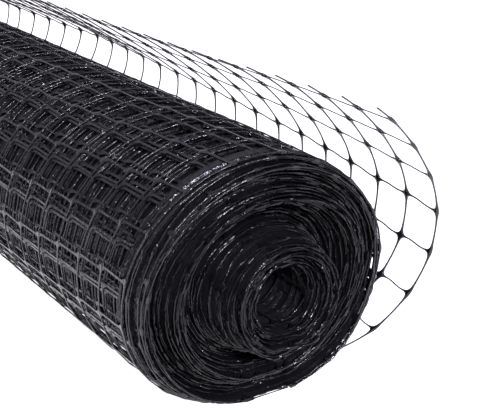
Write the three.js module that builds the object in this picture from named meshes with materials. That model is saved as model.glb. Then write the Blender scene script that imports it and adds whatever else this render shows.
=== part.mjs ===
// Roll of mole netting: a black plastic net of nearly square meshes, wound on itself round an open core.
// The wound body is one solid. The outer turn has sprung open along one side and stands off the roll
// as a curved net, the loose end, cut half a mesh past its last cross strand.
// Millimetres, +Z up. The roll's axis runs along Y and the loose end stands on the +X side.
// The origin is on the flat spot that the roll lies on, under the middle of its axis.

import * as THREE from 'three';

// The net
const MESH_ALONG = 17; // one mesh along the winding
const MESH_ACROSS = 15; // one mesh across the net, along the roll's axis
const MESHES_ACROSS = 66;
const NET_WIDTH = MESHES_ACROSS * MESH_ACROSS;
const NET_COLOUR = 0x0c0c0d;
const NET_ROUGHNESS = 0.42;

// The wound body
const ROLL_RADIUS = 47.9;
const FLAT_DEPTH = 1; // the roll's own weight flattens it this much underneath
const AXIS_HEIGHT = ROLL_RADIUS - FLAT_DEPTH;
const NEAR_EDGE = -NET_WIDTH / 2; // mean place of the outermost turn's near edge
const UNEVEN_DEPTH = 0.5; // how far the outer turns sink between tight places
const UNEVEN_LENGTH = 62; // along the axis, for one radian of that unevenness
const SWELL = { height: 3.7, angle: -47, spread: 40 }; // the roll bulges where the loose end leaves it
const PINCH = { depth: 1.6, angle: 45, spread: 50, reach: 40 }; // both ends are drawn in a little at the top
const ROUND_RADIUS = 36; // the turns inside this radius are round
const STEPS_AROUND = 72;
const STEPS_IN_CORE = 6;
const STEPS_OUTSIDE = 18;

// The turns have slipped along the axis, so both ends of the roll are stepped. A row is one bundle of
// edges, from the outermost turn to the core: its radius, how far its edges stand along +Y from the
// mean edge, and how far they lean out towards -Y on the side given in degrees from +X towards +Z.
const EDGE_BUNDLES = [
  { radius: ROLL_RADIUS, slip: 4.2, lean: 9.5, side: 33 },
  { radius: 43, slip: -4, lean: 5, side: 36 },
  { radius: 41.8, slip: 1, lean: 7.5, side: 36 },
  { radius: 37.5, slip: 0, lean: 6, side: 35 },
  { radius: 35.5, slip: -4, lean: 5, side: 35 },
  { radius: 33, slip: -5.5, lean: 5, side: 35 },
  { radius: 31, slip: -1, lean: 4, side: 35 },
  { radius: 28, slip: 4, lean: 3, side: 35 },
  { radius: 24.5, slip: 4, lean: 2, side: 35 },
  { radius: 22, slip: -3.5, lean: 1.5, side: 0 },
  { radius: 20, slip: -12, lean: 1.5, side: -40 },
  { radius: 18.8, slip: -14.6, lean: 1.5, side: -40 },
  { radius: 16.5, slip: -13.8, lean: 1.3, side: -40 },
  { radius: 13.5, slip: -12, lean: 1, side: -40 },
  { radius: 11.4, slip: -10, lean: 0.5, side: -40 },
  { radius: 10.4, slip: -8, lean: 0, side: -40 },
  { radius: 10, slip: -3, lean: 0, side: -40 },
];

// The loose end. Its gap to the roll eases open by the crest, from the angle where it leaves the roll to
// the angle where it is open. There it bends, leans back over the roll and springs out towards the cut edge.
// Angles are in degrees round the axis from +X towards +Z. The curve differs across the net, so a row is the
// curve at one distance from the nearer edge, with how far the net's cross strands have bowed towards the
// cut edge there.
const LOOSE_STATIONS = [
  { across: 0, leave: -50, open: 36, crest: 10.5, lean: 0, spring: 16.6, bow: 1 },
  { across: 75, leave: -28, open: 29, crest: 14.4, lean: -8, spring: 13.5, bow: 6.5 },
  { across: 180, leave: 2, open: 31.5, crest: 17.2, lean: -26.7, spring: 30.8, bow: 14 },
  { across: 240, leave: 14, open: 34, crest: 18.5, lean: -29, spring: 33, bow: 20.7 },
  { across: 315, leave: 23.7, open: 41, crest: 13.3, lean: -21.5, spring: 32.7, bow: 24.8 },
];
const ROW_ANGLE = 20; // where the fourth cross strand from the cut edge crosses the near edge
const ROWS_ABOVE = 3; // cross strands from there to the cut edge
const ROWS_BELOW = 4; // and down to the root, which lies on the roll
const STUB_LENGTH = MESH_ALONG / 2;
const EDGE_REACH = 24; // the loose near edge stands this far out from the roll's mean near edge
const EDGE_SLANT = 0.158; // and this much further for each millimetre towards the cut edge
const EDGE_CURL = 17.5; // while at the root it has swung back this far, to the roll's own edge
const SHEET_THICKNESS = 1.2;
const STRAND_WIDTH = 1.8;
const ROOT_CLEARANCE = 0.6;
const MESHES_PER_GAP = 2; // across the net, one cut gap stands for two meshes
const PROFILE_START = -100;
const PROFILE_END = 160;
const PROFILE_STEP = 1;

const radians = THREE.MathUtils.degToRad;

function ease(t) {
  return THREE.MathUtils.smoothstep(t, 0, 1);
}

// One at an angle in radians, easing to zero at a spread on either side of it
function bumpAt(angle, { angle: middle, spread }) {
  const away = THREE.MathUtils.euclideanModulo(angle - radians(middle) + Math.PI, 2 * Math.PI) - Math.PI;
  return ease(1 - Math.abs(away) / radians(spread));
}

// How far a turn stands out from an even circle, at a distance from the nearer end
function standOut(radius, angle, inset) {
  const share = ease((radius - ROUND_RADIUS) / (ROLL_RADIUS - ROUND_RADIUS));
  const pinch = PINCH.depth * bumpAt(angle, PINCH) * ease(1 - inset / PINCH.reach);
  return share * (SWELL.height * bumpAt(angle, SWELL) - pinch);
}

// Radius of a wound turn: swollen and pinched, sunk a little in places, and flat where the roll rests
function woundRadius(radius, angle, y, inset) {
  const upward = (1 + Math.sin(angle)) / 2;
  const wave = (1 + Math.sin(2 * angle + y / UNEVEN_LENGTH)) / 2;
  const sunk = Math.min(radius, ROLL_RADIUS - UNEVEN_DEPTH * upward * wave);
  const free = sunk + standOut(radius, angle, inset);
  const down = -Math.sin(angle);
  return down > 0 ? Math.min(free, AXIS_HEIGHT / down) : free;
}

function edgePlace(bundle, angle) {
  return NEAR_EDGE + bundle.slip - bundle.lean * Math.cos(angle - radians(bundle.side));
}

function aroundAxis(radius, angle, y) {
  return [radius * Math.cos(angle), y, radius * Math.sin(angle)];
}

function meshGeometry(positions, triangles) {
  const geometry = new THREE.BufferGeometry();
  geometry.setAttribute('position', new THREE.Float32BufferAttribute(positions.flat(), 3));
  geometry.setIndex(triangles.flat());
  geometry.computeVertexNormals();
  return geometry;
}

// Distances across the net along the outside, from the far end to the near end
function outsidePlaces() {
  const places = [NET_WIDTH - PINCH.reach / 2];
  for (let step = STEPS_OUTSIDE - 1; step > 0; step -= 1) {
    places.push((NET_WIDTH * step) / STEPS_OUTSIDE);
  }
  places.push(PINCH.reach / 2);
  return places;
}

// One closed section of the roll at an angle: in over the near end, along the core, out over the far
// end and back along the outside
function rollSection(angle) {
  const section = [];
  for (const bundle of EDGE_BUNDLES) {
    const radius = woundRadius(bundle.radius, angle, NEAR_EDGE, 0);
    section.push(aroundAxis(radius, angle, edgePlace(bundle, angle)));
  }
  const core = EDGE_BUNDLES.at(-1);
  for (let step = 1; step < STEPS_IN_CORE; step += 1) {
    const y = edgePlace(core, angle) + (NET_WIDTH * step) / STEPS_IN_CORE;
    section.push(aroundAxis(core.radius, angle, y));
  }
  for (const bundle of EDGE_BUNDLES.toReversed()) {
    const radius = woundRadius(bundle.radius, angle, -NEAR_EDGE, 0);
    section.push(aroundAxis(radius, angle, edgePlace(bundle, angle) + NET_WIDTH));
  }
  const outer = EDGE_BUNDLES[0];
  for (const across of outsidePlaces()) {
    const y = edgePlace(outer, angle) + across;
    const inset = Math.min(across, NET_WIDTH - across);
    section.push(aroundAxis(woundRadius(outer.radius, angle, y, inset), angle, y));
  }
  return section;
}

function rollGeometry() {
  const positions = [];
  const triangles = [];
  const count = rollSection(0).length;
  for (let turn = 0; turn < STEPS_AROUND; turn += 1) {
    const nextTurn = (turn + 1) % STEPS_AROUND;
    positions.push(...rollSection((2 * Math.PI * turn) / STEPS_AROUND));
    for (let place = 0; place < count; place += 1) {
      const nextPlace = (place + 1) % count;
      const a = turn * count + place;
      const b = nextTurn * count + place;
      const c = nextTurn * count + nextPlace;
      const d = turn * count + nextPlace;
      triangles.push([a, b, c], [a, c, d]);
    }
  }
  return meshGeometry(positions, triangles);
}

// The loose end's curve at a distance across the net, between the stations on either side of it
function looseShape(across) {
  const inset = Math.min(across, NET_WIDTH - across);
  const found = LOOSE_STATIONS.findIndex((station) => station.across > inset);
  const next = found < 0 ? LOOSE_STATIONS.at(-1) : LOOSE_STATIONS[found];
  const last = found < 0 ? next : LOOSE_STATIONS[found - 1];
  const share = next === last ? 0 : (inset - last.across) / (next.across - last.across);
  const shape = {};
  for (const name of Object.keys(next)) {
    shape[name] = THREE.MathUtils.lerp(last[name], next[name], share);
  }
  return shape;
}

// The loose end's section at a distance across the net: points with their length along the curve,
// measured from the row angle
function looseProfile(across) {
  const shape = looseShape(across);
  const profile = [];
  for (let degrees = PROFILE_START; degrees <= PROFILE_END; degrees += PROFILE_STEP) {
    const angle = radians(degrees);
    const opened = ease((degrees - shape.leave) / (shape.open - shape.leave));
    const past = Math.max(radians(degrees - shape.open), 0);
    const swell = SWELL.height * bumpAt(angle, SWELL) * (1 - opened);
    const gap = ROOT_CLEARANCE + SHEET_THICKNESS / 2 + swell + shape.crest * opened;
    const radius = ROLL_RADIUS + gap + (shape.lean + shape.spring * past) * past;
    const x = radius * Math.cos(angle);
    const z = radius * Math.sin(angle);
    const before = profile.at(-1);
    const length = before ? before.length + Math.hypot(x - before.x, z - before.z) : 0;
    profile.push({ degrees, length, x, z });
  }
  const start = profileAt(profile, 'degrees', ROW_ANGLE).length;
  return profile.map((point) => ({ ...point, length: point.length - start - shape.bow }));
}

function profileAt(profile, key, value) {
  const last = profile.length - 2;
  const found = profile.findIndex((point) => point[key] > value) - 1;
  const index = THREE.MathUtils.clamp(found, 0, last);
  const a = profile[index];
  const b = profile[index + 1];
  const t = (value - a[key]) / (b[key] - a[key]);
  const length = THREE.MathUtils.lerp(a.length, b.length, t);
  const x = THREE.MathUtils.lerp(a.x, b.x, t);
  const z = THREE.MathUtils.lerp(a.z, b.z, t);
  return { length, x, z };
}

// A point of the loose end, lifted off its middle surface
function loosePoint(profile, across, along, lift) {
  const reach = 0.5;
  const here = profileAt(profile, 'length', along);
  const before = profileAt(profile, 'length', along - reach);
  const after = profileAt(profile, 'length', along + reach);
  const span = Math.hypot(after.x - before.x, after.z - before.z);
  const outX = (after.z - before.z) / span;
  const outZ = -(after.x - before.x) / span;
  const root = -ROWS_BELOW * MESH_ALONG;
  const curl = EDGE_CURL * (THREE.MathUtils.clamp(along, root, 0) / root) ** 3;
  const y = NEAR_EDGE - EDGE_REACH - EDGE_SLANT * along + curl + across;
  return [here.x + lift * outX, y, here.z + lift * outZ];
}

// Bands of the net in one direction: a strand at each place, and the open stretch between two strands,
// cut into pieces so that it can curve
function netBands(places, piecesBetween) {
  const half = STRAND_WIDTH / 2;
  const lines = [];
  const strands = [];
  places.forEach((place, index) => {
    if (index > 0) {
      const from = lines.at(-1);
      for (let piece = 1; piece < piecesBetween; piece += 1) {
        lines.push(from + ((place - half - from) * piece) / piecesBetween);
        strands.push(false);
      }
      lines.push(place - half);
      strands.push(false);
    } else {
      lines.push(place - half);
    }
    lines.push(place + half);
    strands.push(true);
  });
  return { lines, strands };
}

function looseEndGeometry() {
  const rows = [];
  for (let row = -ROWS_BELOW; row <= ROWS_ABOVE; row += 1) {
    rows.push(row * MESH_ALONG);
  }
  const along = netBands(rows, 2);
  along.lines.push(rows.at(-1) + STUB_LENGTH);
  along.strands.push(false);

  const columns = [];
  const inset = STRAND_WIDTH / 2;
  for (let mesh = 0; mesh <= MESHES_ACROSS; mesh += MESHES_PER_GAP) {
    columns.push(THREE.MathUtils.clamp(mesh * MESH_ACROSS, inset, NET_WIDTH - inset));
  }
  const across = netBands(columns, 1);
  const profiles = across.lines.map(looseProfile);

  const isNet = (i, j) => Boolean(along.strands[i] || across.strands[j]);
  const positions = [];
  const triangles = [];
  const known = new Map();
  const vertex = (i, j, lift) => {
    const key = `${i} ${j} ${lift}`;
    if (!known.has(key)) {
      known.set(key, positions.length);
      positions.push(loosePoint(profiles[j], across.lines[j], along.lines[i], lift));
    }
    return known.get(key);
  };
  const quad = (a, b, c, d) => triangles.push([a, b, c], [a, c, d]);

  const outer = SHEET_THICKNESS / 2;
  const inner = -outer;
  const wall = (i0, j0, i1, j1) => {
    quad(vertex(i0, j0, inner), vertex(i1, j1, inner), vertex(i1, j1, outer), vertex(i0, j0, outer));
  };
  for (let i = 0; i < along.strands.length; i += 1) {
    for (let j = 0; j < across.strands.length; j += 1) {
      if (!isNet(i, j)) {
        continue;
      }
      const corners = [[i, j], [i + 1, j], [i + 1, j + 1], [i, j + 1]];
      const top = corners.map(([p, q]) => vertex(p, q, outer));
      const bottom = corners.map(([p, q]) => vertex(p, q, inner));
      quad(top[0], top[3], top[2], top[1]);
      quad(bottom[0], bottom[1], bottom[2], bottom[3]);
      if (i === 0 || !isNet(i - 1, j)) {
        wall(i, j, i, j + 1);
      }
      if (i + 1 === along.strands.length || !isNet(i + 1, j)) {
        wall(i + 1, j + 1, i + 1, j);
      }
      if (j === 0 || !isNet(i, j - 1)) {
        wall(i + 1, j, i, j);
      }
      if (j + 1 === across.strands.length || !isNet(i, j + 1)) {
        wall(i, j + 1, i + 1, j + 1);
      }
    }
  }
  return meshGeometry(positions, triangles);
}

function netMesh(name, geometry) {
  const material = new THREE.MeshStandardMaterial({
    color: NET_COLOUR,
    roughness: NET_ROUGHNESS,
    metalness: 0,
  });
  const mesh = new THREE.Mesh(geometry, material);
  mesh.name = name;
  return mesh;
}

// Both pieces are shaped round the roll's axis, which lies level above the floor
const netting = new THREE.Group();
netting.position.z = AXIS_HEIGHT;
netting.add(netMesh('roll', rollGeometry()));
netting.add(netMesh('loose_end', looseEndGeometry()));

const part = new THREE.Group();
part.add(netting);

export default part;
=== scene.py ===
# %% [markdown]
# # A roll of mole netting
# Mole netting is a black plastic net. A punched sheet of polypropylene is stretched both ways, so every
# hole opens into a mesh, the plastic between two holes is drawn out into a thin strand, and a thick node
# stays where four strands meet. In this lesson ten metres of it are wound into a roll, and the last bit
# springs loose. The solid model gives the size and place of everything, so it is loaded first and never
# moved.

# %% Load the solid model
import math

import bpy
import numpy as np
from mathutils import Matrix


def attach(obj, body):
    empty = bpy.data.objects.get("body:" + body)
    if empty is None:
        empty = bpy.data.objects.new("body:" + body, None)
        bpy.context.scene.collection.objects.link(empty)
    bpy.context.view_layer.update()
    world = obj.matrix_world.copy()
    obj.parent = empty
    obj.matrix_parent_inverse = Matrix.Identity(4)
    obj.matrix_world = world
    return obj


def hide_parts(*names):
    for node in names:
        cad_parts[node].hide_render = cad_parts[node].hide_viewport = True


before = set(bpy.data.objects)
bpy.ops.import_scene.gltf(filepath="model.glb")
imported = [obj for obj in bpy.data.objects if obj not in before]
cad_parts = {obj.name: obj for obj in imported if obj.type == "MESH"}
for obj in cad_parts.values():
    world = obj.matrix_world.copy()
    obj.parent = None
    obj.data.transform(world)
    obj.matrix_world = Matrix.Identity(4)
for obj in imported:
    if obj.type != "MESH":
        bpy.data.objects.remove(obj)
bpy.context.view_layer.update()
bpy.ops.object.select_all(action="DESELECT")

MM = 0.001

# %% [markdown]
# ## Camera
# The camera comes first, because every later choice is judged through it. It stands in front of the near
# end, a little to the left and above, so the roll runs away to the upper left and leaves the picture. A
# constraint could aim it at the roll, but its place and two angles say the same in fewer words. The lens
# is given in pixels of the picture and turned into millimetres on the sensor.

# %% Camera
CAMERA_PLACE = (-176.1, -727.8, 195.3)
CAMERA_AZIMUTH = -36.28
CAMERA_ELEVATION = 22.49
FOCAL_PIXELS = 987.3
IMAGE_WIDTH = 500
SENSOR_WIDTH = 36
NEAREST_SEEN = 0.01

bpy.ops.object.camera_add(
    location=[MM * part for part in CAMERA_PLACE],
    rotation=(math.radians(90 - CAMERA_ELEVATION), 0, math.radians(CAMERA_AZIMUTH)),
)
camera = bpy.context.object
camera.data.sensor_fit = "HORIZONTAL"
camera.data.sensor_width = SENSOR_WIDTH
camera.data.lens = SENSOR_WIDTH * FOCAL_PIXELS / IMAGE_WIDTH
camera.data.clip_start = NEAREST_SEEN
bpy.context.scene.camera = camera
print("lens, mm:", round(camera.data.lens, 2))

# %% [markdown]
# ## Nodes written as Python
# A material is a graph of nodes, and drawing one by code gets long. One small class wraps a socket, so
# that plain arithmetic on it adds the Math nodes, and another holds the graph of a material or of the
# world and adds any other node.


# %% A graph that can be written as expressions
class Channel:
    """One output of a node. Arithmetic on it adds Math nodes to the same graph."""

    def __init__(self, graph, socket):
        self.graph = graph
        self.socket = socket

    def math(self, operation, first, second=0.0):
        return self.graph.add("ShaderNodeMath", {"operation": operation}, {0: first, 1: second})

    def __add__(self, other):
        return self.math("ADD", self, other)

    __radd__ = __add__

    def __sub__(self, other):
        return self.math("SUBTRACT", self, other)

    def __rsub__(self, other):
        return self.math("SUBTRACT", other, self)

    def __mul__(self, other):
        return self.math("MULTIPLY", self, other)

    __rmul__ = __mul__

    def part(self, name):
        """Another output of the same node."""
        return Channel(self.graph, self.socket.node.outputs[name])


class Graph:
    """The nodes of a material or a world. add() makes a node of any type from its settings and inputs."""

    def __init__(self, owner):
        owner.use_nodes = True
        self.owner = owner
        self.tree = owner.node_tree
        self.tree.nodes.clear()

    def add(self, kind, settings, inputs, output=0):
        node = self.tree.nodes.new(kind)
        for name, value in settings.items():
            setattr(node, name, value)
        for name, value in inputs.items():
            socket = node.inputs[name]
            if isinstance(value, Channel):
                self.tree.links.new(value.socket, socket)
            else:
                socket.default_value = value
        return Channel(self, node.outputs[output]) if node.outputs else None

    def blend(self, share, first, second):
        """A colour between two others."""
        settings = {"data_type": "RGBA"}
        return self.add("ShaderNodeMix", settings, {"Factor": share, 6: first, 7: second}, output=2)

    def show(self, inputs):
        """Ends a material in one shader."""
        shader = self.add("ShaderNodeBsdfPrincipled", {}, inputs)
        self.add("ShaderNodeOutputMaterial", {}, {"Surface": shader})
        return self.owner


print("node helpers ready")

# %% [markdown]
# ## Black stretched plastic
# The net is black polypropylene. A node keeps its thickness and stays black, while a strand has been
# drawn out and is a little paler along its middle. Where it is drawn thinnest, on the loose end, much of
# that paler grey is painted light, standing in for the light that shines through the strand. A picture of
# plastic could be wrapped round it, but a strand is narrower than a pixel of it would be, so the finish
# is worked out from the place. Each net mesh carries a number called stretch, 0 at a node and 1 in the
# middle of a strand, and the finish reads it. Slow noise makes some stretches duller than others, and
# fine noise crinkles the surface, so that a reflection breaks up into short glints.

# %% Black net finish
NODE_BLACK = (0.002, 0.002, 0.0023, 1)
DUST_GREY = (0.012, 0.012, 0.013, 1)
DUST_SHARE = 0.3
PATCH_SCALE = 90.0
PATCH_DETAIL = 3.0
PATCH_DULLNESS = 0.32
GRAIN_SCALE = 700.0
GRAIN_DETAIL = 2.0
GRAIN_DULLNESS = 0.06
CRINKLE_STRENGTH = 0.5
PLASTIC_IOR = 1.49


def black_net_finish(name, strand_colour_and_light, shine, dullness, crinkle):
    finish = Graph(bpy.data.materials.new(name))
    place = finish.add("ShaderNodeTexCoord", {}, {}, output="Object")
    stretch = finish.add("ShaderNodeAttribute", {"attribute_name": "stretch"}, {}, output="Fac")
    patches = finish.add("ShaderNodeTexNoise", {}, {
        "Vector": place, "Scale": PATCH_SCALE, "Detail": PATCH_DETAIL,
    })
    grain = finish.add("ShaderNodeTexNoise", {}, {
        "Vector": place, "Scale": GRAIN_SCALE, "Detail": GRAIN_DETAIL,
    })
    # Towards a strand's middle the colour turns to the strand colour; on the loose end that paler grey is
    # partly painted light
    plastic = finish.blend(stretch, NODE_BLACK, strand_colour_and_light)
    bump = finish.add("ShaderNodeBump", {}, {
        "Strength": CRINKLE_STRENGTH, "Distance": crinkle, "Height": grain,
    })
    return finish.show({
        "Base Color": finish.blend(patches * DUST_SHARE, plastic, DUST_GREY),
        "Roughness": dullness + patches * PATCH_DULLNESS + grain * GRAIN_DULLNESS,
        "IOR": PLASTIC_IOR,
        "Specular IOR Level": shine,
        "Normal": bump,
    })


print("net finish ready")

# %% [markdown]
# The strands deep in the roll have been rubbed and shine less than those outside, and the loose end was
# drawn out so thin that some light comes through. That light is painted into the paler grey of its
# strands.
# One finish for all would be simpler, but the roll would look like one lump, so each kind of net has its
# own colour, shine, dullness and depth of crinkle, in metres.

# %% The kinds of net
STRAND_BLACK = (0.003, 0.003, 0.0034, 1)
# Paler grey of the loose end's strands: partly stretched plastic, partly painted light for the light that
# shines through them
STRETCHED_AND_BACKLIT_GREY = (0.03, 0.03, 0.032, 1)

thin_backlit_net = black_net_finish("thin_backlit_net", STRETCHED_AND_BACKLIT_GREY, shine=0.4, dullness=0.05, crinkle=0.0003)
black_net = black_net_finish("black_net", STRAND_BLACK, shine=0.47, dullness=0.05, crinkle=0.0009)
inner_net = black_net_finish("inner_net", STRAND_BLACK, shine=0.25, dullness=0.05, crinkle=0.001)
core_net = black_net_finish("core_net", STRAND_BLACK, shine=0.18, dullness=0.05, crinkle=0.0009)
strand_net = black_net_finish("strand_net", STRAND_BLACK, shine=0.6, dullness=0.05, crinkle=0.0015)
node_net = black_net_finish("node_net", NODE_BLACK, shine=0.6, dullness=-0.05, crinkle=0.0003)
finishes = (thin_backlit_net, black_net, inner_net, core_net, strand_net, node_net)
print("finishes:", [finish.name for finish in finishes])

# %% [markdown]
# ## The net and the way it is wound
# The whole net is one long strip. A modifier could bend a flat strip along a spiral, but here the turns
# have slipped past each other, and each has to land in its own place. So a place on the net gets two
# coordinates, in millimetres: along runs with the winding, from the core outwards to the cut end, and
# across runs from the near edge to the far edge. One function turns the two into a point in space, and
# every strand of every turn comes from that one rule. The sizes are those of the solid model.

# %% Sizes of the net and the roll
MESH_ALONG = 17
MESH_ACROSS = 15
MESHES_ACROSS = 66
NET_WIDTH = MESH_ACROSS * MESHES_ACROSS
NET_LENGTH = 10000

ROLL_RADIUS = 47.9
CORE_RADIUS = 10
OUTER_DEPTH = 0.4  # from the roll's outside to the middle of the outermost strands
INNER_DEPTH = 0.6
OUTER_NET = ROLL_RADIUS - OUTER_DEPTH
INNER_NET = CORE_RADIUS + INNER_DEPTH
TURN_PITCH = math.pi * (OUTER_NET**2 - INNER_NET**2) / NET_LENGTH
print("turn pitch, mm:", round(TURN_PITCH, 3), "turns:", round((OUTER_NET - INNER_NET) / TURN_PITCH, 1))

# %% [markdown]
# ## The curve of the loose end
# The outer turn stops hugging the roll low on one side. Its gap eases open by the crest, from the angle
# where it leaves the roll to the angle where it is open. There it bends, leans back over the roll and
# springs out towards the cut edge. A cloth simulation could look for such a curve, but this net is stiff
# and its curve is known, so a short table gives it at five distances from the nearer edge. The last
# column is how far the cross strands have bowed towards the cut edge there, as a net does that was pulled
# by its middle.

# %% Sizes of the loose end
# Distance from the nearer edge, degrees of leaving and of being open, crest, lean, spring and bow
LOOSE_STATIONS = np.array([
    (0, -50, 36, 10.5, 0, 16.6, 1),
    (75, -28, 29, 14.4, -8, 13.5, 6.5),
    (180, 2, 31.5, 17.2, -26.7, 30.8, 14),
    (240, 14, 34, 18.5, -29, 33, 20.7),
    (315, 23.7, 41, 13.3, -21.5, 32.7, 24.8),
])
SWELL = 3.7  # the roll bulges where the loose end leaves it
SWELL_ANGLE = -47
SWELL_SPREAD = 40
ROW_ANGLE = 20
ROOT_ANGLE = -60
ROOT_GAP = 1.2
ROOT_LIFT = ROLL_RADIUS + ROOT_GAP - OUTER_NET
ROOT_EASE = 60
LAST_ANGLE = 160
ANGLE_STEP = 0.5
LOOSE_ANGLES = np.arange(ROOT_ANGLE, LAST_ANGLE, ANGLE_STEP)
print("distances in the table, mm:", LOOSE_STATIONS[:, 0])


# %% Curve of the loose end
def ease(share):
    share = np.clip(share, 0, 1)
    return share * share * (3 - 2 * share)


def bump_at(degrees, middle, spread):
    """1 at an angle, easing to 0 at a spread on either side of it."""
    away = (degrees - middle + 180) % 360 - 180
    return ease(1 - np.abs(away) / spread)


def loose_shape(across):
    """The table's columns at one distance across the net."""
    inset = min(across, NET_WIDTH - across)
    distances, *columns = LOOSE_STATIONS.T
    return [np.interp(inset, distances, column) for column in columns]


def loose_profile(across):
    """Length along the net and radius, for each of the loose angles, at one distance across the net."""
    leave, opened, crest, lean, spring, bow = loose_shape(across)
    past = np.radians(np.maximum(LOOSE_ANGLES - opened, 0))
    lift = ROOT_LIFT * ease((LOOSE_ANGLES - ROOT_ANGLE) / ROOT_EASE)
    open_share = ease((LOOSE_ANGLES - leave) / (opened - leave))
    swell = SWELL * bump_at(LOOSE_ANGLES, SWELL_ANGLE, SWELL_SPREAD) * (1 - open_share)
    gap = lift + swell + crest * open_share + (lean + spring * past) * past
    radius = OUTER_NET + gap
    x = radius * np.cos(np.radians(LOOSE_ANGLES))
    z = radius * np.sin(np.radians(LOOSE_ANGLES))
    length = np.concatenate([[0], np.cumsum(np.hypot(np.diff(x), np.diff(z)))])
    return length - np.interp(ROW_ANGLE, LOOSE_ANGLES, length) - bow, radius


corner_length = loose_profile(0)[0]
print("loose end at a corner, from root to row angle, mm:", round(-corner_length[0], 1))

# %% [markdown]
# ## Turns and their edges
# Inside the root the net is an even spiral, so the angle at a length along it follows from the area of
# the annulus that is still wound. Each turn strays a little from the even spiral, most near the core.
# Random numbers would tear a turn apart, so the straying is a slow sway along the winding.

# %% Turns
TURN_WANDER = 0.26  # how far a turn strays from an even spiral
CORE_WANDER = 0.5  # and how far near the core, where nothing presses on it
CORE_REACH = 20
TURN_RATES = (9.2, 14.9)  # radians for each turn


def spiral_angle(wound):
    """Degrees inside the root, at a length wound inside it."""
    left = np.maximum(OUTER_NET**2 - TURN_PITCH * wound / np.pi, INNER_NET**2 / 2)
    return np.degrees((OUTER_NET - np.sqrt(left)) * 2 * np.pi / TURN_PITCH)


def wander(degrees, rates):
    """A slow sway from -1 to 1 along the winding."""
    turns = degrees / 360
    return (np.sin(rates[0] * turns) + np.sin(rates[1] * turns)) / 2


def turn_place(along, across):
    """Degrees and radius at lengths along the net, at one distance across it."""
    length, loose_radius = loose_profile(across)
    wound = length[0] - along
    turned = ROOT_ANGLE - spiral_angle(np.maximum(wound, 0))
    inside = ROOT_ANGLE - turned
    spiral_radius = OUTER_NET - TURN_PITCH * inside / 360
    stray = np.interp(spiral_radius, (INNER_NET, CORE_REACH), (CORE_WANDER, TURN_WANDER))
    spiral_radius += stray * ease(inside / 360) * wander(turned, TURN_RATES)
    degrees = np.where(wound > 0, turned, np.interp(along, length, LOOSE_ANGLES))
    radius = np.where(wound > 0, spiral_radius, np.interp(along, length, loose_radius))
    return degrees, radius


print("innermost turn, degrees inside the root:", spiral_angle(NET_LENGTH).round())

# %% [markdown]
# The turns slip along the axis in bundles, so the ends of the roll are stepped, and a bundle may lean to
# one side. The edge of the loose end runs slanting, and curls back to the roll at its root.

# %% Edges
# Radius, slip, lean and side of each bundle of edges, from the core outwards
EDGE_BUNDLES = np.array([
    (10, -3, 0, -40),
    (10.4, -8, 0, -40),
    (11.4, -10, 0.5, -40),
    (13.5, -12, 1, -40),
    (16.5, -13.8, 1.3, -40),
    (18.8, -14.6, 1.5, -40),
    (20, -12, 1.5, -40),
    (22, -3.5, 1.5, 0),
    (24.5, 4, 2, 35),
    (28, 4, 3, 35),
    (31, -1, 4, 35),
    (33, -5.5, 5, 35),
    (35.5, -4, 5, 35),
    (37.5, 0, 6, 35),
    (41.8, 1, 7.5, 36),
    (43, -4, 5, 36),
    (47.9, 4.2, 9.5, 33),
])
NEAR_EDGE = -NET_WIDTH / 2
EDGE_REACH = 24
EDGE_SLANT = 0.158
EDGE_CURL = 17.5
ROOT_ROW = -4
ROOT_ALONG = ROOT_ROW * MESH_ALONG


def bundle_edge(radius, degrees):
    """Where the near edges of a bundle of turns lie along the axis."""
    radii, slips, leans, sides = EDGE_BUNDLES.T
    slip = np.interp(radius, radii, slips)
    lean_x = np.interp(radius, radii, leans * np.cos(np.radians(sides)))
    lean_z = np.interp(radius, radii, leans * np.sin(np.radians(sides)))
    angle = np.radians(degrees)
    return NEAR_EDGE + slip - lean_x * np.cos(angle) - lean_z * np.sin(angle)


def loose_edge(along):
    """Where the near edge of the loose end lies along the axis."""
    curl = EDGE_CURL * (np.clip(along, ROOT_ALONG, 0) / ROOT_ALONG) ** 3
    return NEAR_EDGE - EDGE_REACH - EDGE_SLANT * along + curl


print("edge of the loose end at its root, mm:", round(loose_edge(ROOT_ALONG), 1))

# %% [markdown]
# A wound roll is never quite round. The upper turns sink between tight places, the roll is flat where it
# lies on the floor, it swells where the loose end leaves it, and its ends are drawn in at the top.
# Sculpting this by hand would shape one turn at a time, so it is a rule for the radius that holds for all
# of them.

# %% Settling
FLAT_DEPTH = 1
AXIS_HEIGHT = ROLL_RADIUS - FLAT_DEPTH
LEAST_DOWN = 0.1  # a point that faces less downwards than this never meets the floor
UNEVEN_DEPTH = 0.5
UNEVEN_LENGTH = 62
UNEVEN_WAVES = 2
ROUND_RADIUS = 36  # the turns inside this radius are round
PINCH = 1.6  # how far the ends are drawn in
PINCH_ANGLE = 45
PINCH_SPREAD = 50
PINCH_DEPTH = 40
SLACK_LIFT = 0.7  # the turn under the loose end hangs a little slack near its edge
SLACK_ANGLE = -362
SLACK_SPREAD = 45
SLACK_DEPTH = 70


def settled(radius, degrees, y, stand_out):
    """A wound radius, sunk between tight places, standing out in others, and flat on the floor."""
    angle = np.radians(degrees)
    upward = (1 + np.sin(angle)) / 2
    wave = (1 + np.sin(UNEVEN_WAVES * angle + y / UNEVEN_LENGTH)) / 2
    free = radius - UNEVEN_DEPTH * upward * wave + stand_out
    down = np.maximum(-np.sin(angle), LEAST_DOWN)
    return np.minimum(free, (AXIS_HEIGHT - (ROLL_RADIUS - radius)) / down)


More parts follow.
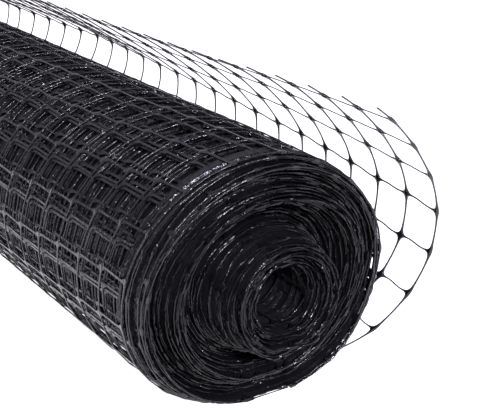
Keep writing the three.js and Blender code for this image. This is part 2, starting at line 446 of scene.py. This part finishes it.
def unround(radius, degrees, inset):
    """How far a turn stands out from an even circle, at a distance from the nearer edge."""
    share = ease((radius - ROUND_RADIUS) / (ROLL_RADIUS - ROUND_RADIUS))
    swell = SWELL * bump_at(degrees, SWELL_ANGLE, SWELL_SPREAD)
    pinch = PINCH * bump_at(degrees, PINCH_ANGLE, PINCH_SPREAD) * ease(1 - inset / PINCH_DEPTH)
    return share * (swell - pinch)


def slack(degrees, across):
    """How far the turn under the loose end stands off the roll."""
    near_angle = ease(1 - np.abs(degrees - SLACK_ANGLE) / SLACK_SPREAD)
    return SLACK_LIFT * near_angle * ease(1 - across / SLACK_DEPTH)


print("height of the axis, mm:", AXIS_HEIGHT)

# %% [markdown]
# All of this comes together in one function, which works on whole grids of places at once. Where the
# outer turn comes loose, its edge and its radius ease over from those of the roll.

# %% A point of the net in space
EDGE_WANDER = (0.9, 1.9)  # how far the edge of a turn strays from its bundle, outermost and further in
WANDER_DEPTH = 2
WANDER_RATES = (4.6, 11.3)
EDGE_JOIN = (-90, -62)  # along the net, where the edge eases from the roll's to the loose end's
ROWS_ABOVE = 3


def net_point(along, across):
    """Points in space, in millimetres. along is a grid with one column for each distance in across."""
    degrees = np.empty(along.shape)
    radius = np.empty(along.shape)
    for column, distance in enumerate(across):
        degrees[:, column], radius[:, column] = turn_place(along[:, column], distance)
    joined = ease((along - EDGE_JOIN[0]) / (EDGE_JOIN[1] - EDGE_JOIN[0]))
    edge_stray = np.interp(OUTER_NET - radius, (0, WANDER_DEPTH), EDGE_WANDER)
    wound_edge = bundle_edge(radius, degrees) + edge_stray * wander(degrees, WANDER_RATES)
    y = wound_edge * (1 - joined) + loose_edge(along) * joined + across
    lifted = ease((degrees - ROOT_ANGLE) / ROOT_EASE)
    inset = np.minimum(across, NET_WIDTH - across)
    stand_out = np.where(degrees < ROOT_ANGLE, unround(radius, degrees, inset), 0)
    radius = settled(radius, degrees, y, stand_out) * (1 - lifted) + radius * lifted
    radius += slack(degrees, across)
    angle = np.radians(degrees)
    return np.stack([radius * np.cos(angle), y, AXIS_HEIGHT + radius * np.sin(angle)], axis=-1)


cut_corner = (np.array([[ROWS_ABOVE * MESH_ALONG]]), np.array([0.0]))
print("cut corner, mm:", net_point(*cut_corner)[0, 0].round(1))

# %% [markdown]
# ## Strands and nodes
# The net is woven by nobody: it is one skin. Bevelled curves laid across each other would be quicker, but
# they would cut through each other at every node. So each piece of net is one mesh, made from arrays. A
# node is a small flat pad, longer with the winding than across. A strand leaves each side of the pad,
# four-sided, wide where it starts and thin in its middle, and on the roll it is twisted a little by
# chance. Chance is worked out from the place in the net, so that it is the same in every run.

# %% Places and directions in the net
NUDGE = 0.4
SCATTER_ALONG = 12.9898
SCATTER_ACROSS = 78.233
SCATTER_SEED = 37.719
SCATTER_SIZE = 43758.5453


def scatter(along, across, seed):
    """An even spread from -1 to 1 that depends only on the place in the net."""
    wave = np.sin(along * SCATTER_ALONG + across * SCATTER_ACROSS + seed * SCATTER_SEED)
    mixed = wave * SCATTER_SIZE
    return 2 * (mixed - np.floor(mixed)) - 1


def unit(vectors):
    return vectors / np.linalg.norm(vectors, axis=-1, keepdims=True)


def frames(along, across):
    """Points, and their directions with the winding, across the net and outwards."""
    point = net_point(along, across)
    winding = unit(net_point(along + NUDGE, across) - net_point(along - NUDGE, across))
    sideways = net_point(along, across + NUDGE) - net_point(along, across - NUDGE)
    outward = unit(np.cross(sideways, winding))
    return point, winding, unit(sideways), outward


def ring(point, side, outward, width, height, twist):
    """Four corners round a strand, from its outer face on, turned by a twist in radians."""
    cosine = np.cos(twist)[..., None]
    sine = np.sin(twist)[..., None]
    left = -(side * cosine + outward * sine) * width / 2
    up = (outward * cosine - side * sine) * height / 2
    corners = [point + left + up, point - left + up, point - left - up, point + left - up]
    return np.stack(corners, axis=-2)


print("outwards at the cut corner:", frames(*cut_corner)[3][0, 0].round(2))

# %% [markdown]
# A stretch of net is collected in one object before it becomes a mesh. It knows its nodes, which sit a
# little off their rows, and it numbers the points as they come. Faces can then be made for all nodes at
# once, because the pattern of corners is the same at each.

# %% Collect a stretch of net
FACE_KINDS = range(3)
PAD, WINDING, CROSS = FACE_KINDS
NODE_STRAY = 0.35
NODE_SEED = 1


class NetMesh:
    """Vertices with their stretch and faces with their kind, for nodes at every row and column."""

    def __init__(self, rows, columns, sizes):
        row_grid = np.repeat(rows[:, None], len(columns), axis=1)
        self.nodes = row_grid + NODE_STRAY * scatter(row_grid, columns, NODE_SEED)
        self.columns = columns
        self.sizes = sizes
        self.points = []
        self.stretch = []
        self.count = 0
        self.faces = []
        self.kinds = []

    def add_points(self, points, stretch):
        """Adds an array of points and returns the array of their numbers."""
        numbers = self.count + np.arange(points[..., 0].size).reshape(points.shape[:-1])
        self.points.append(points.reshape(-1, 3))
        self.stretch.append(np.full(numbers.size, stretch))
        self.count += numbers.size
        return numbers

    def add_faces(self, kind, corners):
        faces = np.stack(corners, axis=-1).reshape(-1, 4)
        self.faces.append(faces)
        self.kinds.append(np.full(len(faces), kind))

    def add_tube(self, kind, rings):
        """Joins each ring of four corners to the next one."""
        for first, second in zip(rings, rings[1:]):
            for corner in range(4):
                after = (corner + 1) % 4
                self.add_faces(kind, [
                    first[..., corner], first[..., after], second[..., after], second[..., corner],
                ])

    def add_cap(self, kind, rim, backwards=False):
        order = (3, 2, 1, 0) if backwards else (0, 1, 2, 3)
        self.add_faces(kind, [rim[..., corner] for corner in order])

    def make(self, name):
        mesh = bpy.data.meshes.new(name)
        mesh.from_pydata(np.concatenate(self.points) * MM, [], np.concatenate(self.faces))
        stretch = mesh.attributes.new("stretch", "FLOAT", "POINT")
        stretch.data.foreach_set("value", np.concatenate(self.stretch))
        kinds = np.concatenate(self.kinds)
        mesh.polygons.foreach_set("material_index", (kinds == PAD).astype(int))
        mesh.polygons.foreach_set("use_smooth", ~np.isin(kinds, self.sizes["flat"]))
        piece = bpy.data.objects.new(name, mesh)
        bpy.context.scene.collection.objects.link(piece)
        return piece


print("net builder ready")

# %% [markdown]
# The strand sizes differ a little between the loose end, which was pulled thin, and the wound turns,
# which are pressed flat, most of all inside the roll. They are kept in tables with named columns. A
# strand has a width where it leaves its node and one in its middle, twist is the most that it turns about
# its own line, in radians, and flat lists the faces that are shaded flat, so that each of them catches
# the light by itself.

# %% Strand sizes
LOOSE_STRANDS = {
    "node_along": 2.8, "node_across": 1.6, "node_height": 1.35,
    "winding": (1.0, 0.78), "cross": (0.78, 0.64), "height": 0.6, "twist": 0, "flat": (),
}
WOUND_STRANDS = {
    "node_along": 2.0, "node_across": 1.1, "node_height": 0.7,
    "winding": (0.85, 0.55), "cross": (1.1, 0.8), "height": 0.42, "twist": 0.2, "flat": (CROSS,),
}
EDGE_STRANDS = {
    "node_along": 2.6, "node_across": 1.1, "node_height": 0.5,
    "winding": (0.5, 0.34), "cross": (0.8, 0.5), "height": 0.28, "twist": 1.0, "flat": FACE_KINDS,
}
CORE_STRANDS = {
    "node_along": 2.2, "node_across": 1.2, "node_height": 0.6,
    "winding": (0.5, 0.36), "cross": (0.9, 0.6), "height": 0.34, "twist": 1.0, "flat": FACE_KINDS,
}


def width_at(widths, stretch):
    thick, thin = widths
    return thick + (thin - thick) * stretch


def link_length(sizes):
    """Length of a strand along the winding, from pad to pad."""
    return MESH_ALONG - sizes["node_along"]


print("mesh, mm:", MESH_ALONG, "by", MESH_ACROSS)

# %% [markdown]
# The pads are made first, each a flat box without its four sides. The strands are joined to the sides, so
# that pad and strands become one skin.

# %% Nodes
PAD_TOP = [0, 1, 2, 3]
PAD_UNDERSIDE = [4, 5, 6, 7]
PAD_SIDES = {"before": [0, 1, 5, 4], "after": [3, 2, 6, 7], "near": [3, 0, 4, 7], "far": [2, 1, 5, 6]}


def add_nodes(net):
    """Adds a pad at every node and returns the corners of its four sides."""
    point, winding, sideways, outward = frames(net.nodes, net.columns)
    ahead = winding * (net.sizes["node_along"] / 2)
    aside = sideways * (net.sizes["node_across"] / 2)
    up = outward * net.sizes["node_height"] / 2
    pad = net.add_points(np.stack([
        point - ahead - aside + up, point - ahead + aside + up,
        point + ahead + aside + up, point + ahead - aside + up,
        point - ahead - aside - up, point - ahead + aside - up,
        point + ahead + aside - up, point + ahead - aside - up,
    ], axis=-2), 0.0)
    net.add_cap(PAD, pad[..., PAD_TOP])
    net.add_cap(PAD, pad[..., PAD_UNDERSIDE], backwards=True)
    return {side: pad[..., corners] for side, corners in PAD_SIDES.items()}


print("sides of a pad:", list(PAD_SIDES))

# %% [markdown]
# The strands along the winding run from row to row. Past the last row each goes on by a tail, which is a
# cut stub on the loose end and a link to the next piece on the roll.

# %% Strands along the winding
# Place along a strand from node to node, and stretch there
WINDING_RINGS = ((0.08, 0.6), (0.5, 1.0), (0.92, 0.6))
CURVED_RINGS = ((0.08, 0.6), (0.24, 0.9), (0.41, 1.0), (0.59, 1.0), (0.76, 0.9), (0.92, 0.6))
TAIL_END = (1.0, 0.6)
WINDING_SEED = 5


def winding_ring(net, start, end, share, stretch):
    along = start + (end - start) * share
    point, _, side, outward = frames(along, net.columns)
    twist = net.sizes["twist"] * scatter(along, net.columns, WINDING_SEED)
    width = width_at(net.sizes["winding"], stretch)
    return net.add_points(ring(point, side, outward, width, net.sizes["height"], twist), stretch)


def add_winding_strands(net, sides, tail, steps):
    half_node = net.sizes["node_along"] / 2
    starts = net.nodes + half_node
    ends = net.nodes - half_node
    rings = [winding_ring(net, starts[:-1], ends[1:], *step) for step in steps]
    net.add_tube(WINDING, [sides["after"][:-1], *rings, sides["before"][1:]])
    net.add_cap(WINDING, sides["before"][0], backwards=True)
    tips = starts[-1:] + tail
    rings = [winding_ring(net, starts[-1:], tips, *step) for step in (*steps, TAIL_END)]
    net.add_tube(WINDING, [sides["after"][-1:], *rings])
    net.add_cap(WINDING, rings[-1])


print("steps of a strand:", len(WINDING_RINGS), "or, bent tightly,", len(CURVED_RINGS))

# %% [markdown]
# The cross strands run from column to column in a slight S, as they do where the net was stretched
# unevenly, and they get thinner towards the cut edge.

# %% Strands across the net
CROSS_RINGS = ((0.14, 0.9), (0.86, 0.9))
THINNING = 0.3
THINNING_START = -20
THINNING_LENGTH = 70
CROSS_SEED = 6


def cross_ring(net, share, stretch, s_curve):
    half_node = net.sizes["node_across"] / 2
    start = net.columns[:-1] + half_node
    across = start + (net.columns[1:] - half_node - start) * share
    wave = s_curve * math.sin(2 * math.pi * share)
    along = net.nodes[:, :-1] + (net.nodes[:, 1:] - net.nodes[:, :-1]) * share + wave
    point, winding, _, outward = frames(along, across)
    twist = net.sizes["twist"] * scatter(along, across, CROSS_SEED)
    thinned = 1 - THINNING * ease((along - THINNING_START) / THINNING_LENGTH)[..., None]
    width = width_at(net.sizes["cross"], stretch) * thinned
    height = net.sizes["height"] * thinned
    return net.add_points(ring(point, -winding, outward, width, height, twist), stretch)


def add_cross_strands(net, sides, steps, s_curve):
    rings = [cross_ring(net, *step, s_curve) for step in steps]
    net.add_tube(CROSS, [sides["far"][:, :-1], *rings, sides["near"][:, 1:]])
    net.add_cap(CROSS, sides["near"][:, 0], backwards=True)
    net.add_cap(CROSS, sides["far"][:, -1])


print("cross strands lose a share of:", THINNING)

# %% [markdown]
# One function then makes any stretch of the net, and another gives it its finish and hangs it on the
# frame.

# %% One piece of the net
S_CURVE = 0.5
ALL_COLUMNS = np.arange(MESHES_ACROSS + 1) * float(MESH_ACROSS)


def net_piece(
    name, rows, columns, sizes, tail,
    winding_rings=WINDING_RINGS, cross_rings=CROSS_RINGS, s_curve=S_CURVE,
):
    """A stretch of net. tail is the length of strand past the last row."""
    net = NetMesh(rows, columns, sizes)
    sides = add_nodes(net)
    add_winding_strands(net, sides, tail, winding_rings)
    add_cross_strands(net, sides, cross_rings, s_curve)
    return net.make(name)


def finish_net(piece, finish):
    for slot_finish in (finish, node_net):
        piece.data.materials.append(slot_finish)
    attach(piece, "root")
    piece.data.calc_loop_triangles()
    print(piece.name, "triangles:", len(piece.data.loop_triangles))


def row_places(first, last):
    return np.arange(first, last + 1) * float(MESH_ALONG)


print("net, strands across:", len(ALL_COLUMNS))

# %% [markdown]
# ## The loose end
# Seen against the light, each node of the loose end is a small star with soft fillets. Bevels would need
# care at every corner, so the mesh made from arrays is only a cage here, and one level of subdivision
# rounds it.

# %% Loose end
STUB_LENGTH = MESH_ALONG / 2
LOOSE_CROSS_RINGS = ((0.07, 0.9), (0.3, 1.0), (0.5, 1.0), (0.7, 1.0), (0.93, 0.9))
LOOSE_S_CURVE = -0.45

loose_end = net_piece(
    "loose_net", row_places(ROOT_ROW, ROWS_ABOVE), ALL_COLUMNS, LOOSE_STRANDS, STUB_LENGTH,
    cross_rings=LOOSE_CROSS_RINGS, s_curve=LOOSE_S_CURVE)
bpy.context.view_layer.objects.active = loose_end
rounding = loose_end.modifiers.new("rounding", "SUBSURF")
rounding.levels = 1
rounding.render_levels = 1
bpy.ops.object.modifier_apply(modifier=rounding.name)
# Its finish paints in, as a paler grey, the light that shines through the thin strands
finish_net(loose_end, thin_backlit_net)
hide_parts("loose_end")

# %% [markdown]
# ## The outer turns
# Along the roll one looks through each turn at the next. A cylinder with a net painted on it would stay
# flat, so the turns that show are built over the whole length, each as a piece of its own. A turn takes
# about seventeen meshes. Strands link the last row of one piece to the first row of the next.

# %% Outer turns
OUTER_TURNS = 6
ROWS_PER_TURN = 17

last_row = ROOT_ROW - 1
for turn in range(OUTER_TURNS):
    first_row = last_row - ROWS_PER_TURN + 1
    outer_turn = net_piece(
        f"outer_turn_{turn + 1}", row_places(first_row, last_row), ALL_COLUMNS, WOUND_STRANDS,
        link_length(WOUND_STRANDS))
    finish_net(outer_turn, black_net)
    last_row = first_row - 1

# %% [markdown]
# ## The edges of the inner turns
# At both ends of the roll every turn shows its edge. Plain rings would lie too evenly, so inside the
# outer turns the net is built again, but only its first meshes at each end. The edges near the core stand
# out as a ring. They bend more tightly, so their strands are made in more steps.

# %% Edges of the inner turns
INNERMOST_ROW = ROOT_ROW - 1 - round(NET_LENGTH / MESH_ALONG)
CORE_ROWS = 13
RING_ROWS = 80
EDGE_MESHES = 2
NEAR_COLUMNS = ALL_COLUMNS[:EDGE_MESHES + 1]
FAR_COLUMNS = ALL_COLUMNS[-EDGE_MESHES - 1:]

ring_start = INNERMOST_ROW + CORE_ROWS
edge_start = ring_start + RING_ROWS
for place, columns in (("near", NEAR_COLUMNS), ("far", FAR_COLUMNS)):
    edges = net_piece(
        f"{place}_edges", row_places(edge_start, last_row), columns, EDGE_STRANDS,
        link_length(EDGE_STRANDS))
    finish_net(edges, inner_net)
    ring_edges = net_piece(
        f"{place}_ring", row_places(ring_start, edge_start - 1), columns, CORE_STRANDS,
        link_length(CORE_STRANDS), CURVED_RINGS)
    finish_net(ring_edges, core_net)

# %% [markdown]
# ## The turns round the core
# The core is open and one can look into it. Edges alone would leave a gap behind them, so the innermost
# turns are built from end to end.

# %% Turns round the core
core_turns = net_piece(
    "core_turns", row_places(INNERMOST_ROW, ring_start - 1), ALL_COLUMNS, CORE_STRANDS,
    link_length(CORE_STRANDS), CURVED_RINGS)
finish_net(core_turns, core_net)

# %% [markdown]
# ## The packed turns
# Between the outer turns and the core lie some forty turns that nobody sees one by one. Built as net they
# would take millions of faces, so they are one dark ring, spun from its section. Little light comes back
# out of it, so its finish is nearly black and dull.

# %% Packed turns finish
PACKED_BLACK = (0.002, 0.002, 0.0023, 1)
PACKED_GREY = (0.006, 0.006, 0.0065, 1)
PACKED_SCALE = 900.0
PACKED_DETAIL = 2.0
PACKED_CRINKLE = 0.0004
PACKED_DULLNESS = 0.7
PACKED_UNEVEN = 0.2
PACKED_SHINE = 0.02


def packed_finish():
    finish = Graph(bpy.data.materials.new("packed_net"))
    place = finish.add("ShaderNodeTexCoord", {}, {}, output="Object")
    strands = finish.add("ShaderNodeTexNoise", {}, {
        "Vector": place, "Scale": PACKED_SCALE, "Detail": PACKED_DETAIL,
    })
    bump = finish.add("ShaderNodeBump", {}, {
        "Strength": CRINKLE_STRENGTH, "Distance": PACKED_CRINKLE, "Height": strands,
    })
    return finish.show({
        "Base Color": finish.blend(strands, PACKED_BLACK, PACKED_GREY),
        "Roughness": PACKED_DULLNESS + strands * PACKED_UNEVEN,
        "Specular IOR Level": PACKED_SHINE,
        "Normal": bump,
    })


packed_net = packed_finish()
print("finish:", packed_net.name)

# %% [markdown]
# The ends of the ring follow the edges of the turns, set back so that those stand in front of it. At both
# ends a short lip backs the outer turns as well.

# %% Ends of the packed turns
BACKING_GAP = 0.6  # from a turn to what backs it, in turns
CORE_TURNS_DEPTH = 2.0
PACKED_OUTSIDE = OUTER_NET - (OUTER_TURNS + BACKING_GAP) * TURN_PITCH
PACKED_INSIDE = INNER_NET + CORE_TURNS_DEPTH
LIP_OUTSIDE = OUTER_NET - BACKING_GAP * TURN_PITCH
LIP_LENGTH = 10
LIP_EASE = 4
SET_BACK = 3.4
EDGE_PITCH = 0.8
EDGE_RISE = 1.4
EDGE_SPREAD = 0.6  # as a share of the rise
EDGE_SEED = 2


def packed_edges():
    """Outline of one end of the ring, where every turn shows its edge."""
    crests = np.arange(PACKED_INSIDE + EDGE_PITCH / 2, LIP_OUTSIDE, EDGE_PITCH)
    rises = EDGE_RISE * (1 + EDGE_SPREAD * scatter(crests, 0, EDGE_SEED))
    edges = []
    for crest, rise in zip(crests, rises):
        edges.append((crest - EDGE_PITCH / 2, SET_BACK))
        edges.append((crest, SET_BACK - rise))
    return edges


print("packed turns, mm:", round(PACKED_INSIDE, 1), "to", round(PACKED_OUTSIDE, 1))

# %% [markdown]
# Ridges on the ring are the strands that show between the outer turns and on the wall of the core. They
# are drawn in its section, unevenly spaced along the axis, and come round with it when it is spun.

# %% Strands of the packed turns
LIP_PITCH = 1.3
STRAND_PITCH = 2.6
STRAND_SPREAD = 0.3  # as a share of the pitch
STRAND_HALF = 0.3
STRAND_RISE = 0.6
RISE_SPREAD = 0.4  # as a share of the rise
BORE_REACH = 60  # light reaches this far into the core
BORE_PITCH = 3.5
BORE_HALF = 0.6
BORE_RISE = 0.8
PITCH_SEED = 3
RISE_SEED = 4
BORE_SEED = 7


def ridge(base, rise, place, half):
    """Three corners in the section of one strand."""
    return [(base, place - half), (base + rise, place), (base, place + half)]


def packed_base(inset):
    """Radius of the ring under its strands, raised to the lip near an end."""
    raised = LIP_OUTSIDE - PACKED_OUTSIDE - STRAND_RISE
    return PACKED_OUTSIDE + raised * ease((LIP_LENGTH - inset) / LIP_EASE)


def packed_strands():
    """Outline of the strands on the outside of the ring, from end to middle."""
    places = [SET_BACK]
    while places[-1] < NET_WIDTH / 2 - STRAND_PITCH:
        pitch = LIP_PITCH if places[-1] < LIP_LENGTH else STRAND_PITCH
        places.append(places[-1] + pitch * (1 + STRAND_SPREAD * scatter(len(places), 0, PITCH_SEED)))
    strands = []
    for number, place in enumerate(places):
        rise = STRAND_RISE * (1 + RISE_SPREAD * scatter(number, 0, RISE_SEED))
        strands += ridge(packed_base(place), rise, place, STRAND_HALF)
    return strands


def bore_strands():
    """Outline of the strands on the wall of the core, from as far in as light reaches to the end."""
    places = np.arange(SET_BACK + BORE_PITCH, BORE_REACH, BORE_PITCH)
    places = places + BORE_PITCH * STRAND_SPREAD * scatter(places, 0, BORE_SEED)
    strands = []
    for place in reversed(places):
        strands += ridge(PACKED_INSIDE, -BORE_RISE, place, -BORE_HALF)
    return strands


near_half = bore_strands() + packed_edges() + packed_strands()
far_half = [(radius, NET_WIDTH - length) for radius, length in reversed(near_half)]
outline = near_half + far_half
print("section of the packed turns, corners:", len(outline))

# %% [markdown]
# The section becomes a closed line of edges, and Spin carries it round the axis. The first and last
# copies meet, so their doubles are merged before the faces are turned outwards.

# %% Packed turns
SPIN_STEPS = 54
MERGE_DISTANCE = 0.01

mesh = bpy.data.meshes.new("packed_turns")
corner_pairs = [(number, (number + 1) % len(outline)) for number in range(len(outline))]
mesh.from_pydata([(radius * MM, y * MM, AXIS_HEIGHT * MM) for radius, y in outline], corner_pairs, [])
packed_turns = bpy.data.objects.new("packed_turns", mesh)
bpy.context.scene.collection.objects.link(packed_turns)
bpy.ops.object.select_all(action="DESELECT")
packed_turns.select_set(True)
bpy.context.view_layer.objects.active = packed_turns
bpy.ops.object.mode_set(mode="EDIT")
bpy.ops.mesh.select_all(action="SELECT")
bpy.ops.mesh.spin(steps=SPIN_STEPS, angle=2 * math.pi, center=(0, 0, AXIS_HEIGHT * MM), axis=(0, 1, 0))
bpy.ops.mesh.select_all(action="SELECT")
bpy.ops.mesh.remove_doubles(threshold=MERGE_DISTANCE * MM)
bpy.ops.mesh.normals_make_consistent(inside=False)
bpy.ops.object.mode_set(mode="OBJECT")
print("packed turns, triangles:", 2 * len(packed_turns.data.polygons))

# %% [markdown]
# While the ring is still straight, its faces are told apart by their place: the ends, the wall of the
# core, the sides of the strands and the dark ground between them.

# %% Finishes of the packed turns
PACKED_FINISHES = (packed_net, inner_net, strand_net, core_net)
SLANTED = 0.7
TOUCHING = 0.01


def read_vectors(collection, name):
    """A vector of every face or vertex, as three arrays."""
    values = np.empty(len(collection) * 3)
    collection.foreach_get(name, values)
    return values.reshape(-1, 3).T


mesh = packed_turns.data
middle_x, middle_y, middle_z = read_vectors(mesh.polygons, "center") / MM
middle_radius = np.hypot(middle_x, middle_z - AXIS_HEIGHT)
inset = np.minimum(middle_y, NET_WIDTH - middle_y)
slanted = np.abs(read_vectors(mesh.polygons, "normal")[1]) > SLANTED
in_bore = middle_radius < PACKED_INSIDE + TOUCHING
on_end = (inset < SET_BACK) & (middle_radius > PACKED_INSIDE + TOUCHING)
on_strand = slanted & ~on_end & ~in_bore

stretch = mesh.attributes.new("stretch", "FLOAT", "POINT")
stretch.data.foreach_set("value", np.ones(len(mesh.vertices)))
for finish in PACKED_FINISHES:
    mesh.materials.append(finish)
finish_number = np.select(
    [on_end, on_strand, in_bore],
    [PACKED_FINISHES.index(finish) for finish in (inner_net, strand_net, core_net)])
mesh.polygons.foreach_set("material_index", finish_number)
mesh.polygons.foreach_set("use_smooth", on_strand)
print("faces on strands:", on_strand.sum(), "on the ends:", on_end.sum())

# %% [markdown]
# Then the ring settles as the turns do: it slips and leans with the bundles, sinks, swells and lies flat.
# It also sways a little, because its strands are not straight rings.

# %% Settle the packed turns
SWAY = 0.7
SWAY_RATE = 0.31
SWAY_WAVES = 2
SINK = 0.2
SINK_RATE = 0.63
SINK_WAVES = 3

x, y, z = read_vectors(mesh.vertices, "co") / MM
radius = np.hypot(x, z - AXIS_HEIGHT)
angle = np.arctan2(z - AXIS_HEIGHT, x)
inset = np.minimum(y, NET_WIDTH - y)
edge_radius = np.minimum(radius, packed_base(inset))
sway = SWAY * np.sin(SWAY_WAVES * angle + (y + radius) * SWAY_RATE)
sink = SINK * np.sin(SINK_WAVES * angle + (y + radius) * SINK_RATE)
stand_out = unround(radius, np.degrees(angle), inset) + sink
y += bundle_edge(edge_radius, np.degrees(angle)) + sway
radius = settled(radius, np.degrees(angle), y, stand_out)
x = radius * np.cos(angle)
z = AXIS_HEIGHT + radius * np.sin(angle)
mesh.vertices.foreach_set("co", (np.stack([x, y, z], axis=-1) * MM).ravel())
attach(packed_turns, "root")
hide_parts("roll")
print("packed turns, along the axis, mm:", y.min().round(1), "to", y.max().round(1))

# %% [markdown]
# ## Floor
# The roll lies on a plain pale floor that glows a little, so that it stays white. Much stronger lamps
# would do the same, but they would also wash out the black plastic above it.

# %% Floor
FLOOR_SIZE = 30
FLOOR_PALE = (0.45, 0.45, 0.45, 1)
FLOOR_SCALE = 3.0
FLOOR_DULLNESS = 0.7
FLOOR_UNEVEN = 0.1
GLOW_WHITE = (1, 1, 1, 1)
FLOOR_GLOW = 1.0

floor_finish = Graph(bpy.data.materials.new("pale_floor"))
floor_place = floor_finish.add("ShaderNodeTexCoord", {}, {}, output="Object")
floor_noise = floor_finish.add("ShaderNodeTexNoise", {}, {"Vector": floor_place, "Scale": FLOOR_SCALE})
floor_paper = floor_finish.show({
    "Base Color": FLOOR_PALE,
    "Roughness": FLOOR_DULLNESS + floor_noise * FLOOR_UNEVEN,
    "Emission Color": GLOW_WHITE,
    "Emission Strength": FLOOR_GLOW,
})
bpy.ops.mesh.primitive_plane_add(size=FLOOR_SIZE, location=(0, 0, 0))
floor = bpy.context.object
floor.name = "floor"
floor.data.materials.append(floor_paper)
print("floor, metres:", FLOOR_SIZE)

# %% [markdown]
# ## Light
# Most of what shows on black plastic is a faint reflection of what is round it. An even white studio
# would make it flat and grey, so the studio is dark in front and gets brighter towards the back. All the
# light is slightly cool.

# %% Studio
COOL_WHITE = (0.87, 0.83, 1)
FRONT_LIGHT = 0.06
BACK_LIGHT = 0.64
FADE_REACH = 0.5  # how far the fade goes to the front and to the back, as a share of the way

studio = Graph(bpy.data.worlds.new("studio"))
direction = studio.add("ShaderNodeTexCoord", {}, {}, output="Generated")
depth = studio.add("ShaderNodeSeparateXYZ", {}, {"Vector": direction}).part("Y")
strength = studio.add("ShaderNodeMapRange", {"interpolation_type": "SMOOTHSTEP"}, {
    "Value": depth, "From Min": -FADE_REACH, "From Max": FADE_REACH,
    "To Min": FRONT_LIGHT, "To Max": BACK_LIGHT,
})
light = studio.add("ShaderNodeBackground", {}, {"Color": (*COOL_WHITE, 1), "Strength": strength})
studio.add("ShaderNodeOutputWorld", {}, {"Surface": light})
bpy.context.scene.world = studio.owner
bpy.context.scene.view_settings.view_transform = "Standard"
print("studio light, front and back:", FRONT_LIGHT, BACK_LIGHT)

# %% [markdown]
# Two lamps help. A small one from the front makes the short glints, and a wide one above fills in.

# %% Lamps
KEY_PLACE = (-0.41, -1.57, 0.83)
KEY_TARGET = (-0.03, -0.45, 0.07)
KEY_SIZE = 0.24
KEY_POWER = 52
SKY_PLACE = (0.2, -0.3, 1.8)
SKY_TARGET = (0.2, -0.3, 0)
SKY_SIZE = 2.2
SKY_POWER = 8


def soft_box(name, place, target, size, power):
    """A square lamp that looks at a target."""
    bpy.ops.object.light_add(type="AREA", location=place)
    lamp = bpy.context.object
    lamp.name = name
    lamp.data.size = size
    lamp.data.energy = power
    lamp.data.color = COOL_WHITE
    aim_x, aim_y, aim_z = [end - start for end, start in zip(target, place)]
    tilt = math.atan2(math.hypot(aim_x, aim_y), -aim_z)
    turn = math.atan2(aim_y, aim_x) - math.pi / 2
    lamp.rotation_euler = (tilt, 0, turn)
    return lamp


lamps = [
    soft_box("key", KEY_PLACE, KEY_TARGET, KEY_SIZE, KEY_POWER),
    soft_box("sky", SKY_PLACE, SKY_TARGET, SKY_SIZE, SKY_POWER),
]
print("lamps:", [lamp.name for lamp in lamps])
